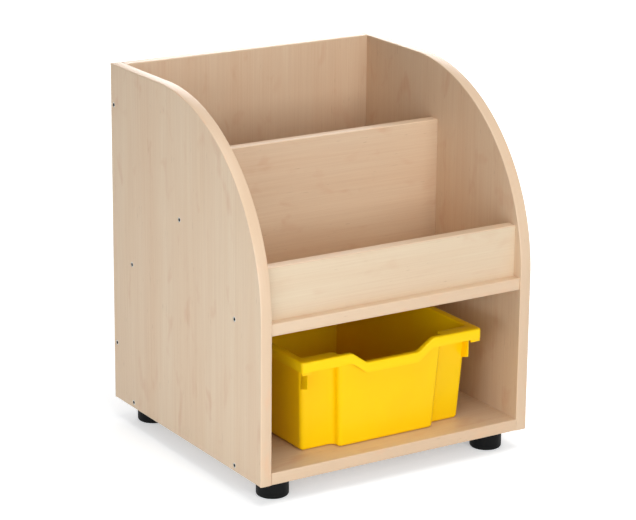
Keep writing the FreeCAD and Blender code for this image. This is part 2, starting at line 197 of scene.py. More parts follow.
world = bpy.data.worlds.new("white_studio")
bpy.context.scene.world = world
world.use_nodes = True
tree = world.node_tree
tree.nodes.clear()
light = add_node(tree, "ShaderNodeBackground", {"Color": SKY, "Strength": AMBIENT}).outputs[0]
white = add_node(tree, "ShaderNodeBackground", {"Color": WHITE}).outputs[0]
either = add_node(tree, "ShaderNodeMixShader", {0: seen_white(tree), 1: light, 2: white}).outputs[0]
add_node(tree, "ShaderNodeOutputWorld", {"Surface": either})
print("world light", AMBIENT)

# %% Floor
FLOOR_SIZE = 30.0
FLOOR_WHITE = (0.80, 0.80, 0.80, 1.0)
GLOW_WHITE = (0.96, 0.98, 1.0, 1.0)
HALF_FOOTPRINT = (0.232, 0.22, 0.0)
GLOW_UNDER = 0.22
GLOW_EDGE = 0.54
GLOW_FAR = 0.80
GLOW_INSET = 0.12
GLOW_SPREAD = 2.2
bpy.ops.mesh.primitive_plane_add(size=FLOOR_SIZE, location=(0, 0, 0))
floor = bpy.context.object
floor.name = "floor"
floor_finish = bpy.data.materials.new("white_floor")
floor_finish.use_nodes = True
tree = floor_finish.node_tree
tree.nodes.clear()
place = add_node(tree, "ShaderNodeTexCoord").outputs["Object"]
from_middle = add_node(tree, "ShaderNodeVectorMath", {0: place}, operation="ABSOLUTE").outputs[0]
from_edge = add_node(tree, "ShaderNodeVectorMath", {0: from_middle, 1: HALF_FOOTPRINT},
                     operation="SUBTRACT").outputs[0]
sides = add_node(tree, "ShaderNodeSeparateXYZ", {0: from_edge}).outputs
outside = maths(tree, "MAXIMUM", sides["X"], sides["Y"])
# Less glow under the footprint, least towards its middle: a painted shade under the cabinet.
painted_shade_glow = ramp(tree, outside, -GLOW_INSET, 0.0, GLOW_UNDER, GLOW_EDGE)
far_glow = ramp(tree, outside, 0.0, GLOW_SPREAD, 0.0, GLOW_FAR - GLOW_EDGE)
glow = maths(tree, "MULTIPLY", maths(tree, "ADD", painted_shade_glow, far_glow), seen_white(tree))
lit = add_node(tree, "ShaderNodeEmission", {"Color": GLOW_WHITE, "Strength": glow}).outputs[0]
matt = add_node(tree, "ShaderNodeBsdfDiffuse", {"Color": FLOOR_WHITE}).outputs[0]
both = add_node(tree, "ShaderNodeAddShader", {0: matt, 1: lit}).outputs[0]
add_node(tree, "ShaderNodeOutputMaterial", {"Surface": both})
floor.data.materials.append(floor_finish)
bpy.ops.object.select_all(action="DESELECT")
print("floor", FLOOR_SIZE, "m wide")


# %% Lamps
def softbox(name, place, target, size, power, tint=(1.0, 1.0, 1.0)):
    """An area lamp that points at a target."""
    lamp_data = bpy.data.lights.new(name, "AREA")
    lamp_data.color = tint
    lamp_data.shape = "RECTANGLE"
    lamp_data.size, lamp_data.size_y = size
    lamp_data.energy = power
    lamp = bpy.data.objects.new(name, lamp_data)
    bpy.context.scene.collection.objects.link(lamp)
    aim = (Vector(target) - Vector(place)).to_track_quat("-Z", "Y")
    lamp.matrix_world = Matrix.Translation(place) @ aim.to_matrix().to_4x4()


CABINET_MIDDLE = (0.0, 0.0, 0.3)
SIDE_FOOT = (-0.232, 0.0, 0.12)
DAYLIGHT = (0.965, 0.99, 1.0)
COOL = (0.82, 0.93, 1.0)
WARM = (1.0, 0.98, 0.95)
softbox("key_lamp", (0.0, -3.4, 0.9), CABINET_MIDDLE, size=(1.4, 1.4), power=48.0, tint=DAYLIGHT)
softbox("left_lamp", (-2.37, -2.37, 0.89), CABINET_MIDDLE, size=(1.4, 1.4), power=18.0)
softbox("low_lamp", (-1.30, -0.38, 0.20), SIDE_FOOT, size=(1.2, 0.3), power=6.8, tint=COOL)
softbox("top_lamp", (0.1, -0.6, 3.0), CABINET_MIDDLE, size=(2.0, 2.0), power=42.0, tint=WARM)
softbox("back_lamp", (1.9, 2.4, 1.7), CABINET_MIDDLE, size=(1.8, 1.8), power=34.0)

# %% [markdown]
# ## Maple decor
#
# The boards are chipboard under printed maple paper. Real maple has hardly any figure: thin
# streaks along the grain, a slow drift between a cream and a pinkish tan, a few soft blotches
# and small dark flecks. An image could show this, but noise that is stretched along one axis
# does it for any board without a seam. The group expects the grain along Z, and each board
# turns its own coordinates so.

# %% Maple group
DRIFT_SHARE = 0.70
BLOTCH_STRENGTH = 0.48
FLECK_STRENGTH = 0.30
FLECK_BROWN = paint(150, 112, 78)
group, given, result = new_group(
    "maple_decor",
    [("Vector", "NodeSocketVector"), ("Cream", "NodeSocketColor"), ("Tan", "NodeSocketColor"),
     ("Blotch", "NodeSocketColor"), ("Contrast", "NodeSocketFloat")],
    [("Color", "NodeSocketColor"), ("Height", "NodeSocketFloat"), ("Roughness", "NodeSocketFloat")])
vector = given.outputs["Vector"]


def grain_noise(squeeze, scale, **settings):
    """Noise drawn out along the grain: the smaller the squeeze, the longer its streaks."""
    return noise(group, stretched(group, vector, (1, 1, squeeze)), scale, **settings)


drift = grain_noise(0.16, scale=13.0, detail=3.0, distortion=0.3)
bands = grain_noise(0.035, scale=75.0, detail=3.0, roughness=0.6)
streaks = grain_noise(0.014, scale=420.0, detail=3.0, roughness=0.65)
spots = grain_noise(0.5, scale=34.0, detail=2.0, distortion=0.4)
flecks = grain_noise(0.11, scale=520.0, detail=1.0, roughness=0.4)
fleck_zone = noise(group, vector, scale=26.0, detail=1.0)
shade = maths(group, "ADD", maths(group, "MULTIPLY", drift, DRIFT_SHARE),
              maths(group, "MULTIPLY", bands, 1 - DRIFT_SHARE))
tone = mix(group, ramp(group, shade, low=0.36, high=0.64),
           given.outputs["Cream"], given.outputs["Tan"])
spot_mask = maths(group, "MULTIPLY", ramp(group, spots, low=0.59, high=0.73), BLOTCH_STRENGTH)
tone = mix(group, spot_mask, tone, given.outputs["Blotch"])
fine = ramp(group, streaks, low=0.30, high=0.70, to_low=1.0, to_high=0.0)
fine_strength = maths(group, "MULTIPLY", fine, given.outputs["Contrast"])
tone = mix(group, fine_strength, tone, given.outputs["Blotch"], "MULTIPLY")
fleck_mask = maths(group, "MULTIPLY", ramp(group, flecks, low=0.70, high=0.76),
                   ramp(group, fleck_zone, low=0.5, high=0.62))
tone = mix(group, maths(group, "MULTIPLY", fleck_mask, FLECK_STRENGTH), tone, FLECK_BROWN)
group.links.new(tone, result.inputs["Color"])
group.links.new(maths(group, "SUBTRACT", streaks, fleck_mask), result.inputs["Height"])
group.links.new(ramp(group, bands, low=0.3, high=0.7, to_low=0.40, to_high=0.50),
                result.inputs["Roughness"])
print("maple group has", len(group.nodes), "nodes")


# %% Maple on a board
MM = 0.001
GRAIN_TURN = {"X": (0.0, -QUARTER, 0.0), "Z": (0.0, 0.0, 0.0)}
STREAK_CONTRAST = 0.17
PAPER_BUMP = 0.10
PAPER_RELIEF = 0.2 * MM


def maple_board(name, grain, shift, cream, tan, blotch):
    """Maple decor with its grain along one axis, moved so that no two boards match."""
    finish, tree, shader = new_finish(name)
    place = add_node(tree, "ShaderNodeTexCoord").outputs["Object"]
    turned = add_node(tree, "ShaderNodeMapping", {
        "Vector": place, "Rotation": GRAIN_TURN[grain], "Location": shift}).outputs[0]
    decor = add_node(tree, "ShaderNodeGroup", node_tree=bpy.data.node_groups["maple_decor"])
    tree.links.new(turned, decor.inputs["Vector"])
    decor.inputs["Cream"].default_value = cream
    decor.inputs["Tan"].default_value = tan
    decor.inputs["Blotch"].default_value = blotch
    decor.inputs["Contrast"].default_value = STREAK_CONTRAST
    bump = add_node(tree, "ShaderNodeBump", {
        "Height": decor.outputs["Height"], "Strength": PAPER_BUMP, "Distance": PAPER_RELIEF})
    tree.links.new(decor.outputs["Color"], shader.inputs["Base Color"])
    tree.links.new(decor.outputs["Roughness"], shader.inputs["Roughness"])
    tree.links.new(bump.outputs[0], shader.inputs["Normal"])
    return finish


print("maple helper ready")

# %% Dress the boards
MAPLE_CREAM = paint(220, 195, 166)
MAPLE_TAN = paint(216, 186, 155)
MAPLE_BLOTCH = paint(206, 163, 131)
LIGHT_CREAM = paint(222, 203, 175)
LIGHT_TAN = paint(219, 195, 166)
LIGHT_BLOTCH = paint(214, 184, 154)
BOARD_GRAIN = {
    "left_side_panel": "Z", "right_side_panel": "Z", "back_panel": "Z", "bottom_shelf": "X",
    "middle_shelf": "X", "front_rail": "X", "divider_panel": "X"}
GRAIN_STEPS = (0.37, 0.53, 0.71)


def dress(node, finish):
    """Give a node of the frame its finish."""
    for material_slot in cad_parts[node].material_slots:
        material_slot.material = finish


for number, (node, grain) in enumerate(BOARD_GRAIN.items()):
    tones = MAPLE_CREAM, MAPLE_TAN, MAPLE_BLOTCH
    if node == "front_rail":
        tones = LIGHT_CREAM, LIGHT_TAN, LIGHT_BLOTCH
    shift = [number * step for step in GRAIN_STEPS]
    dress(node, maple_board(node + "_maple", grain, shift, *tones))
print("boards dressed", list(BOARD_GRAIN))

# %% [markdown]
# ## Plastic and metal
#
# A moulded tray is never flat in colour: the melt flows unevenly, the mould has a fine spark
# texture, and hands polish the rim. One group gives any plastic that slow drift, the fine grain
# and a few rubbed places, and each material sets its own values.

# %% Moulded plastic group
group, given, result = new_group(
    "moulded_plastic",
    [("Vector", "NodeSocketVector"), ("Main", "NodeSocketColor"), ("Second", "NodeSocketColor"),
     ("Matt", "NodeSocketFloat"), ("Glossy", "NodeSocketFloat")],
    [("Color", "NodeSocketColor"), ("Height", "NodeSocketFloat"), ("Roughness", "NodeSocketFloat")])
vector = given.outputs["Vector"]
flow = noise(group, vector, scale=9.0, detail=3.0, distortion=0.6)
spark = noise(group, vector, scale=2600.0, detail=2.0, roughness=0.6)
rubbed = noise(group, vector, scale=38.0, detail=4.0, roughness=0.6)
melt = mix(group, ramp(group, flow, low=0.35, high=0.65),
           given.outputs["Main"], given.outputs["Second"])
group.links.new(melt, result.inputs["Color"])
group.links.new(spark, result.inputs["Height"])
worn = add_node(group, "ShaderNodeMapRange", {
    "Value": rubbed, "From Min": 0.35, "From Max": 0.7, "To Min": given.outputs["Matt"],
    "To Max": given.outputs["Glossy"]}, clamp=True)
group.links.new(worn.outputs[0], result.inputs["Roughness"])
print("plastic group has", len(group.nodes), "nodes")


# %% Moulded plastics
MOULD_RELIEF = 0.1 * MM


def plastic(name, main, second, matt, glossy, relief, shine):
    """A moulded plastic in two near colours, with its roughness range, relief and shine."""
    finish, tree, shader = new_finish(name)
    place = add_node(tree, "ShaderNodeTexCoord").outputs["Object"]
    moulded = add_node(tree, "ShaderNodeGroup", node_tree=bpy.data.node_groups["moulded_plastic"])
    for label, value in (("Main", main), ("Second", second), ("Matt", matt), ("Glossy", glossy)):
        moulded.inputs[label].default_value = value
    tree.links.new(place, moulded.inputs["Vector"])
    bump = add_node(tree, "ShaderNodeBump", {
        "Height": moulded.outputs["Height"], "Strength": relief, "Distance": MOULD_RELIEF})
    tree.links.new(moulded.outputs["Color"], shader.inputs["Base Color"])
    tree.links.new(moulded.outputs["Roughness"], shader.inputs["Roughness"])
    tree.links.new(bump.outputs[0], shader.inputs["Normal"])
    shader.inputs["Specular IOR Level"].default_value = shine
    return finish


yellow_plastic = plastic("yellow_tray_plastic", paint(255, 209, 0), paint(255, 204, 0),
                         matt=0.42, glossy=0.32, relief=0.06, shine=0.20)
black_plastic = plastic("black_foot_plastic", paint(12, 12, 13), paint(9, 9, 10),
                        matt=0.60, glossy=0.50, relief=0.20, shine=0.12)
print("plastics", yellow_plastic.name, black_plastic.name)

# %% Zinc and beech
ZINC_BRIGHT = paint(226, 226, 224)
ZINC_DULL = paint(204, 204, 203)
SOCKET_PAINTED_SHADE = paint(20, 20, 20)
BEECH_LIGHT = paint(214, 172, 124)
BEECH_DARK = paint(190, 146, 100)
BEECH_ROUGHNESS = 0.7

zinc, tree, shader = new_finish("zinc_plated_steel")
place = add_node(tree, "ShaderNodeTexCoord").outputs["Object"]
clouds = noise(tree, place, scale=900.0, detail=3.0)
# The floor of each hex socket is painted near black: a painted shade in the hollow.
socket_depth = add_node(tree, "ShaderNodeAttribute", attribute_name="socket_depth").outputs["Fac"]
plated = mix(tree, clouds, ZINC_BRIGHT, ZINC_DULL)
socket_shade_mask = ramp(tree, socket_depth, low=0.1 * MM, high=0.5 * MM)
tree.links.new(mix(tree, socket_shade_mask, plated, SOCKET_PAINTED_SHADE), shader.inputs["Base Color"])
polish = ramp(tree, clouds, low=0.3, high=0.7, to_low=0.22, to_high=0.40)
tree.links.new(polish, shader.inputs["Roughness"])
shader.inputs["Metallic"].default_value = 1.0

beech, tree, shader = new_finish("beech_dowel")
place = add_node(tree, "ShaderNodeTexCoord").outputs["Object"]
fibres = noise(tree, stretched(tree, place, (0.05, 1, 1)), scale=900.0, detail=3.0)
tree.links.new(mix(tree, fibres, BEECH_LIGHT, BEECH_DARK), shader.inputs["Base Color"])
shader.inputs["Roughness"].default_value = BEECH_ROUGHNESS
print("zinc and beech ready")

# %% Dress the fittings
FINISH_BY_ENDING = {"screws": zinc, "inserts": zinc, "dowels": beech, "foot": black_plastic,
                    "tray": yellow_plastic}
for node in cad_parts:
    for ending, finish in FINISH_BY_ENDING.items():
        if node.endswith(ending):
            dress(node, finish)
print("finishes", [m.name for m in bpy.data.materials])

# %% [markdown]
# ## Helpers for modelling
#
# Every new piece starts from a primitive and is shaped in edit mode. The operators act on the
# selection, so one helper picks vertices, edges or faces by a test on their place. Every
# object's own place is applied, so that its mesh holds it and the object sits at the origin.


# %% Start a piece and pick its parts
def start_box(name, low, high):
    """A cube from corner to corner, in edit mode."""
    bpy.ops.object.select_all(action="DESELECT")
    middle = (Vector(low) + Vector(high)) / 2
    bpy.ops.mesh.primitive_cube_add(size=1.0, location=middle)
    piece = bpy.context.object
    piece.name = name
    piece.data.name = name
    piece.scale = Vector(high) - Vector(low)
    bpy.ops.object.transform_apply(location=True, rotation=True, scale=True)
    bpy.ops.object.mode_set(mode="EDIT")
    return piece


def pick(piece, kind, test):
    """Select only the vertices, edges or faces that pass the test."""
    bpy.ops.mesh.select_mode(type=kind)
    bpy.ops.mesh.select_all(action="DESELECT")
    mesh = bmesh.from_edit_mesh(piece.data)
    mesh.normal_update()
    items = {"VERT": mesh.verts, "EDGE": mesh.edges, "FACE": mesh.faces}[kind]
    found = [item for item in items if test(item)]
    for item in found:
        item.select_set(True)
    mesh.select_flush_mode()
    bmesh.update_edit_mesh(piece.data)
    return len(found)


print("start and pick helpers ready")

# %% Tests for picking
LEVEL = 0.99
HAIR = 0.1 * MM


def near(value, target):
    """True if a value is the target, give or take half a hair."""
    return abs(value - target) < HAIR / 2


def faces_up(face):
    """True for a level face that looks up."""
    return face.normal.z > LEVEL


def faces_down(face):
    """True for a level face that looks down."""
    return face.normal.z < -LEVEL


print("places are compared to", HAIR / 2)

# %% Finish a piece
SMOOTH_ANGLE = math.radians(35)


def choose(*pieces):
    """Select only these objects and make the first one active."""
    bpy.ops.object.select_all(action="DESELECT")
    for piece in pieces:
        piece.select_set(True)
    bpy.context.view_layer.objects.active = pieces[0]


def finish_piece(piece, body, material, node):
    """Leave edit mode, shade, dress the piece, tie it to its body and hide the node it replaces."""
    if bpy.context.mode == "EDIT_MESH":
        bpy.ops.object.mode_set(mode="OBJECT")
    choose(piece)
    bpy.ops.object.shade_smooth_by_angle(angle=SMOOTH_ANGLE)
    piece.data.materials.clear()
    piece.data.materials.append(material)
    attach(piece, body)
    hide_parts(node)
    bpy.ops.object.select_all(action="DESELECT")
    print(piece.name, len(piece.data.polygons), "faces")


print("finish helper ready")

# %% [markdown]
# ## Edge strips
#
# The raw edges of the boards are covered with 2 mm plastic strips in the maple decor. Their two
# outer edges are rounded. On a straight edge a strip is a long box with two bevelled edges. On
# the sides the strip runs up the front, bends over the round nose and runs back along the top,
# which is what Spin does to the end face of the box. The strip remembers how far each point is
# along its run, so that the printed grain bends with it, and how far it is from the board, so
# that the glue shows as a thin darker line.

# %% Edge strip finish
STRIP_CREAM = paint(222, 195, 166)
STRIP_TAN = paint(217, 187, 156)
STRIP_BLOTCH = paint(228, 184, 148)
STRIP_CONTRAST = 0.07
GLUE_BROWN = paint(176, 158, 138)
GLUE_WIDTH = 0.6 * MM
GLUE_STRENGTH = 0.55
STRIP_ROUGHNESS = 0.36
strip_finish, tree, shader = new_finish("maple_edge_strip")
along = add_node(tree, "ShaderNodeAttribute", attribute_name="strip_place").outputs["Vector"]
decor = add_node(tree, "ShaderNodeGroup", node_tree=bpy.data.node_groups["maple_decor"])
tree.links.new(along, decor.inputs["Vector"])
decor.inputs["Cream"].default_value = STRIP_CREAM
decor.inputs["Tan"].default_value = STRIP_TAN
decor.inputs["Blotch"].default_value = STRIP_BLOTCH
decor.inputs["Contrast"].default_value = STRIP_CONTRAST
depth = add_node(tree, "ShaderNodeSeparateXYZ", {0: along}).outputs["Y"]
glue_line = ramp(tree, depth, 0.0, GLUE_WIDTH, to_low=GLUE_STRENGTH, to_high=0.0)
strip_tone = mix(tree, glue_line, decor.outputs["Color"], GLUE_BROWN)
tree.links.new(strip_tone, shader.inputs["Base Color"])
shader.inputs["Roughness"].default_value = STRIP_ROUGHNESS
print("strip finish ready")


# %% Helper for straight strips
STRIP_ROUNDING = 1.5 * MM
AXES = {"X": 0, "Y": 1, "Z": 2}


def remember_run(piece, run_of, depth_of, width_of, shift):
    """Store each vertex's width, depth over the board's edge and run along the strip."""
    places = piece.data.attributes.new("strip_place", "FLOAT_VECTOR", "POINT")
    for vertex, stored in zip(piece.data.vertices, places.data):
        spot = vertex.co
        stored.vector = (width_of(spot) + shift, depth_of(spot), run_of(spot) + shift)


def straight_strip(node, run, outward, shift):
    """A strip along one axis whose outer face looks along outward."""
    low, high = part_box(node)
    piece = start_box(node.replace("band", "strip"), low, high)
    way = Vector(outward)
    face = max(low.dot(way), high.dot(way))
    axis = AXES[run]
    pick(piece, "EDGE", lambda e: all(near(v.co.dot(way), face) for v in e.verts)
         and abs(e.verts[0].co[axis] - e.verts[1].co[axis]) > 10 * STRIP_ROUNDING)
    bpy.ops.mesh.bevel(offset=STRIP_ROUNDING, segments=5, profile=0.5, affect="EDGES")
    bpy.ops.object.mode_set(mode="OBJECT")
    glue_face = min(low.dot(way), high.dot(way))
    width_axis = next(i for i in range(3) if i != axis and abs(way[i]) < 0.5)
    remember_run(piece, lambda p: p[axis], lambda p: p.dot(way) - glue_face,
                 lambda p: p[width_axis], shift)
    finish_piece(piece, "cabinet", strip_finish, node)


print("strip helper ready")

# %% Straight strips
UP, DOWN, FORWARD, BACK = (0, 0, 1), (0, 0, -1), (0, -1, 0), (0, 1, 0)
STRIP_SHIFT = 0.9
STRAIGHT_STRIPS = [
    ("left_side_back_edge_band", "Z", BACK),
    ("right_side_back_edge_band", "Z", BACK),
    ("left_side_bottom_edge_band", "Y", DOWN),
    ("right_side_bottom_edge_band", "Y", DOWN),
    ("back_panel_edge_band", "X", UP),
    ("front_rail_edge_band", "X", UP),
    ("divider_edge_band", "X", UP),
    ("bottom_shelf_edge_band", "X", FORWARD),
    ("middle_shelf_edge_band", "X", FORWARD)]
for number, (node, run, outward) in enumerate(STRAIGHT_STRIPS):
    straight_strip(node, run, outward, shift=STRIP_SHIFT * number)

# %% Strips over the round nose
NOSE_RADIUS = 288.0 * MM
STRIP_THICKNESS = 2.0 * MM
NOSE_STEPS = 48


def nose_strip(node, shift):
    """A strip up the front, over the quarter circle of the nose and back along the top."""
    low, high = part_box(node)
    centre_y = low.y + NOSE_RADIUS
    centre_z = high.z - NOSE_RADIUS
    foot_end = (high.x, low.y + STRIP_THICKNESS, centre_z)
    piece = start_box(node.replace("band", "strip"), low, foot_end)
    pick(piece, "FACE", faces_up)
    bpy.ops.mesh.spin(steps=NOSE_STEPS, angle=QUARTER, center=(low.x, centre_y, centre_z),
                      axis=(1, 0, 0))
    bpy.ops.mesh.extrude_region_move(TRANSFORM_OT_translate={"value": (0, high.y - centre_y, 0)})

    def on_outside(p):
        flat = near(p.y, low.y) and p.z < centre_z + MM or near(p.z, high.z) and p.y > centre_y - MM
        return flat or near(math.hypot(p.y - centre_y, p.z - centre_z), NOSE_RADIUS)

    pick(piece, "EDGE", lambda e: all(on_outside(v.co) for v in e.verts)
         and near(e.verts[0].co.x, e.verts[1].co.x))
    bpy.ops.mesh.bevel(offset=STRIP_ROUNDING, segments=5, profile=0.5, affect="EDGES")
    bpy.ops.object.mode_set(mode="OBJECT")

    def run_of(p):
        if p.z < centre_z:
            return p.z - centre_z
        if p.y > centre_y:
            return QUARTER * NOSE_RADIUS + p.y - centre_y
        return math.atan2(p.z - centre_z, centre_y - p.y) * NOSE_RADIUS

    def depth_of(p):
        if p.z < centre_z:
            return low.y + STRIP_THICKNESS - p.y
        if p.y > centre_y:
            return p.z - high.z + STRIP_THICKNESS
        return math.hypot(p.y - centre_y, p.z - centre_z) - NOSE_RADIUS + STRIP_THICKNESS

    remember_run(piece, run_of, depth_of, lambda p: p.x, shift)
    finish_piece(piece, "cabinet", strip_finish, node)


nose_strip("left_side_front_edge_band", shift=11.3)
nose_strip("right_side_front_edge_band", shift=13.9)

# %% [markdown]
# ## The tray
#
# The storage tray is one thin moulding: a sheet of plastic 2.5 mm thick that runs down the
# walls, over a flat rim and down again as the rim's turned edge. So the shape is made as a sheet
# without thickness, and Solidify gives the wall at the end. The sheet is the side that faces up
# and out. It starts as a flat plane in the shape of the tray's mouth: a rectangle with a bay in
# front for the raised panel.

# %% Tray sizes
tray_low, tray_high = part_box("tray")
TRAY_WALL = 2.5 * MM
TRAY_DRAFT = math.radians(3.2)
RIM_OVERHANG = 10.0 * MM
RIM_EDGE = 15.5 * MM
PANEL_OVERHANG = 7.0 * MM
RECESS_STEP = 15.0 * MM
PANEL_HALF = 91.0 * MM
DIP_DEPTH = 18.0 * MM
DIP_LOW_HALF = 45.0 * MM
DIP_HIGH_HALF = 70.5 * MM
RIM_CORNER = 5.0 * MM
middle_x = (tray_low.x + tray_high.x) / 2
mouth_left = tray_low.x + RIM_OVERHANG + TRAY_WALL
mouth_right = tray_high.x - RIM_OVERHANG - TRAY_WALL
mouth_back = tray_high.y - RIM_OVERHANG - TRAY_WALL
panel_y = tray_low.y + PANEL_OVERHANG + TRAY_WALL
recess_y = panel_y + RECESS_STEP
bay_left = middle_x - PANEL_HALF + TRAY_WALL
bay_right = middle_x + PANEL_HALF - TRAY_WALL
inside_depth = tray_high.z - tray_low.z - TRAY_WALL
lean = inside_depth * math.tan(TRAY_DRAFT)
print("mouth", mouth_right - mouth_left, "wide, walls lean", lean)

# %% [markdown]
# ## A painted highlight on the rim
#
# The rim's turned-down edge is painted a little paler yellow than the walls: a painted
# highlight for the extra light that it catches. It lies on the outline of the tray's box, so its
# place alone tells it from the rest.

# %% Painted highlight on the rim
RIM_PAINTED_HIGHLIGHT = paint(255, 213, 6)
HIGHLIGHT_FROM = -2.0 * MM
HIGHLIGHT_TO = -0.5 * MM
tree = yellow_plastic.node_tree
place = add_node(tree, "ShaderNodeTexCoord").outputs["Object"]
from_middle = add_node(tree, "ShaderNodeVectorMath", {0: place, 1: (tray_low + tray_high) / 2},
                       operation="SUBTRACT").outputs[0]
to_side = add_node(tree, "ShaderNodeVectorMath", {0: from_middle}, operation="ABSOLUTE").outputs[0]
past_outline = add_node(tree, "ShaderNodeVectorMath", {0: to_side, 1: (tray_high - tray_low) / 2},
                        operation="SUBTRACT").outputs[0]
sides = add_node(tree, "ShaderNodeSeparateXYZ", {0: past_outline}).outputs
outermost = maths(tree, "MAXIMUM", sides["X"], sides["Y"])
painted_highlight_mask = ramp(tree, outermost, HIGHLIGHT_FROM, HIGHLIGHT_TO)
base_colour = tree.nodes["Principled BSDF"].inputs["Base Color"]
moulded_colour = base_colour.links[0].from_socket
# The yellow on the tray's outline is mixed towards a paler one: a painted highlight on the rim.
tree.links.new(mix(tree, painted_highlight_mask, moulded_colour, RIM_PAINTED_HIGHLIGHT), base_colour)
print("rim colour", RIM_PAINTED_HIGHLIGHT)

# %% [markdown]
# ## The tray's sheet
#
# Bisect cuts the plane behind the bay and on both sides of it, so that the corners beside the
# bay can be deleted. The walls and the floor then come from one Inset of the whole mouth, by as
# much as the walls lean, and a move straight down. Bevels round the uprights: those that turn
# inwards behind the panel have a larger radius.

# %% Mouth, walls and floor
bpy.ops.object.select_all(action="DESELECT")
bpy.ops.mesh.primitive_plane_add(size=1.0)
tray = bpy.context.object
tray.name = "storage_tray"
tray.data.name = "storage_tray"
tray.scale = (mouth_right - mouth_left, mouth_back - panel_y, 1.0)
tray.location = (middle_x, (mouth_back + panel_y) / 2, tray_high.z)
bpy.ops.object.transform_apply(location=True, rotation=True, scale=True)
bpy.ops.object.mode_set(mode="EDIT")
bpy.ops.mesh.select_all(action="SELECT")
bpy.ops.mesh.bisect(plane_co=(0, recess_y, 0), plane_no=(0, 1, 0))
for bay_side in (bay_left, bay_right):
    pick(tray, "FACE", lambda f: f.calc_center_median().y < recess_y)
    bpy.ops.mesh.bisect(plane_co=(bay_side, 0, 0), plane_no=(1, 0, 0))
pick(tray, "FACE", lambda f: f.calc_center_median().y < recess_y
     and not bay_left < f.calc_center_median().x < bay_right)
bpy.ops.mesh.delete(type="FACE")
bpy.ops.mesh.select_all(action="SELECT")
bpy.ops.mesh.dissolve_faces()
bpy.ops.mesh.inset(thickness=lean)
bpy.ops.transform.translate(value=(0, 0, -inside_depth))
print("mouth, walls and floor have", len(bmesh.from_edit_mesh(tray.data).verts), "corners")


# %% Rounded upright corners
CORNER_ROUND = 4.5 * MM
BAY_HOLLOW = 9.5 * MM
UPRIGHT_FOLD = 1.0


def is_upright(edge):
    """True for an edge that runs from the mouth to the floor."""
    a, b = (v.co for v in edge.verts)
    return abs(a.z - b.z) > inside_depth / 2


def at_bay_front(edge):
    """True for an edge in the raised panel, at the very front."""
    return (edge.verts[0].co + edge.verts[1].co).y / 2 < recess_y - RECESS_STEP / 2 + lean


def is_hollow(edge):
    """True for the two uprights behind the raised panel, where the wall bends inwards."""
    middle = (edge.verts[0].co + edge.verts[1].co) / 2
    beside_panel = abs(middle.x - middle_x) < PANEL_HALF + lean
    return not at_bay_front(edge) and middle.y < recess_y + 2 * lean and beside_panel


pick(tray, "EDGE", lambda e: is_upright(e) and is_hollow(e))
bpy.ops.mesh.bevel(offset=BAY_HOLLOW, segments=6, profile=0.5, affect="EDGES")
pick(tray, "EDGE", lambda e: is_upright(e) and len(e.link_faces) == 2
     and e.calc_face_angle() > UPRIGHT_FOLD)
bpy.ops.mesh.bevel(offset=CORNER_ROUND, segments=5, profile=0.5, affect="EDGES")
print("uprights rounded")

# %% [markdown]
# ## The flat rim
#
# The mouth's outline is lifted a little into a second loop, and the loop's sides are moved out
# to the tray's outline, so that the strip of faces between them becomes the rim once the loop
# goes back down. Its front runs straight across the bay. One more Extrude turns the edge down.

# %% Flat rim and its turned-down edge
LIFT = 1.0 * MM
REACH = CORNER_ROUND + HAIR
out_side = RIM_OVERHANG + TRAY_WALL
pick(tray, "EDGE", lambda e: e.is_boundary)
bpy.ops.mesh.extrude_region_move(TRANSFORM_OT_translate={"value": (0, 0, LIFT)})


def lifted(test):
    """Pick vertices of the lifted loop, which will become the rim's outline."""
    return pick(tray, "VERT", lambda v: v.co.z > tray_high.z + LIFT / 2 and test(v.co))


lifted(lambda p: mouth_left + REACH < p.x < mouth_right - REACH and p.y < recess_y + REACH)
bpy.ops.mesh.dissolve_verts()
lifted(lambda p: p.y > mouth_back - REACH)
bpy.ops.transform.translate(value=(0, out_side, 0))
lifted(lambda p: p.y < recess_y + REACH)
bpy.ops.transform.translate(value=(0, tray_low.y - recess_y, 0))
lifted(lambda p: p.x < mouth_left + REACH)
bpy.ops.transform.translate(value=(-out_side, 0, 0))
lifted(lambda p: p.x > mouth_right - REACH)
bpy.ops.transform.translate(value=(out_side, 0, 0))
share = RIM_CORNER / CORNER_ROUND
for corner_x in (tray_low.x, tray_high.x):
    for corner_y in (tray_low.y, tray_high.y):
        lifted(lambda p: abs(p.x - corner_x) < REACH and abs(p.y - corner_y) < REACH)
        bpy.ops.transform.resize(value=(share, share, 1), center_override=(corner_x, corner_y, 0))
lifted(lambda p: True)
bpy.ops.transform.translate(value=(0, 0, -LIFT))
pick(tray, "EDGE", lambda e: e.is_boundary)
bpy.ops.mesh.extrude_region_move(TRANSFORM_OT_translate={"value": (0, 0, -RIM_EDGE)})
print("rim turned down by", RIM_EDGE)

# %% [markdown]
# ## The hand dip
#
# The hand dip lowers the rim, its turned edge and the top of the panel together. Four cuts
# across the front give it its corners, everything between the middle two goes down, and a bevel
# turns the four creases into bends.

# %% Hand dip
DIP_BEND = 3.2 * MM
cuts = [middle_x + side * half for half in (DIP_HIGH_HALF, DIP_LOW_HALF) for side in (-1, 1)]


def crosses_front(face):
    """True for a face of the rim, its turned edge or the panel's wall across the middle."""
    middle = face.calc_center_bounds()
    is_floor = faces_up(face) and middle.z < tray_high.z - DIP_DEPTH - RIM_EDGE
    foremost = min(v.co.y for v in face.verts)
    return foremost < panel_y + MM and abs(middle.x - middle_x) < DIP_HIGH_HALF and not is_floor


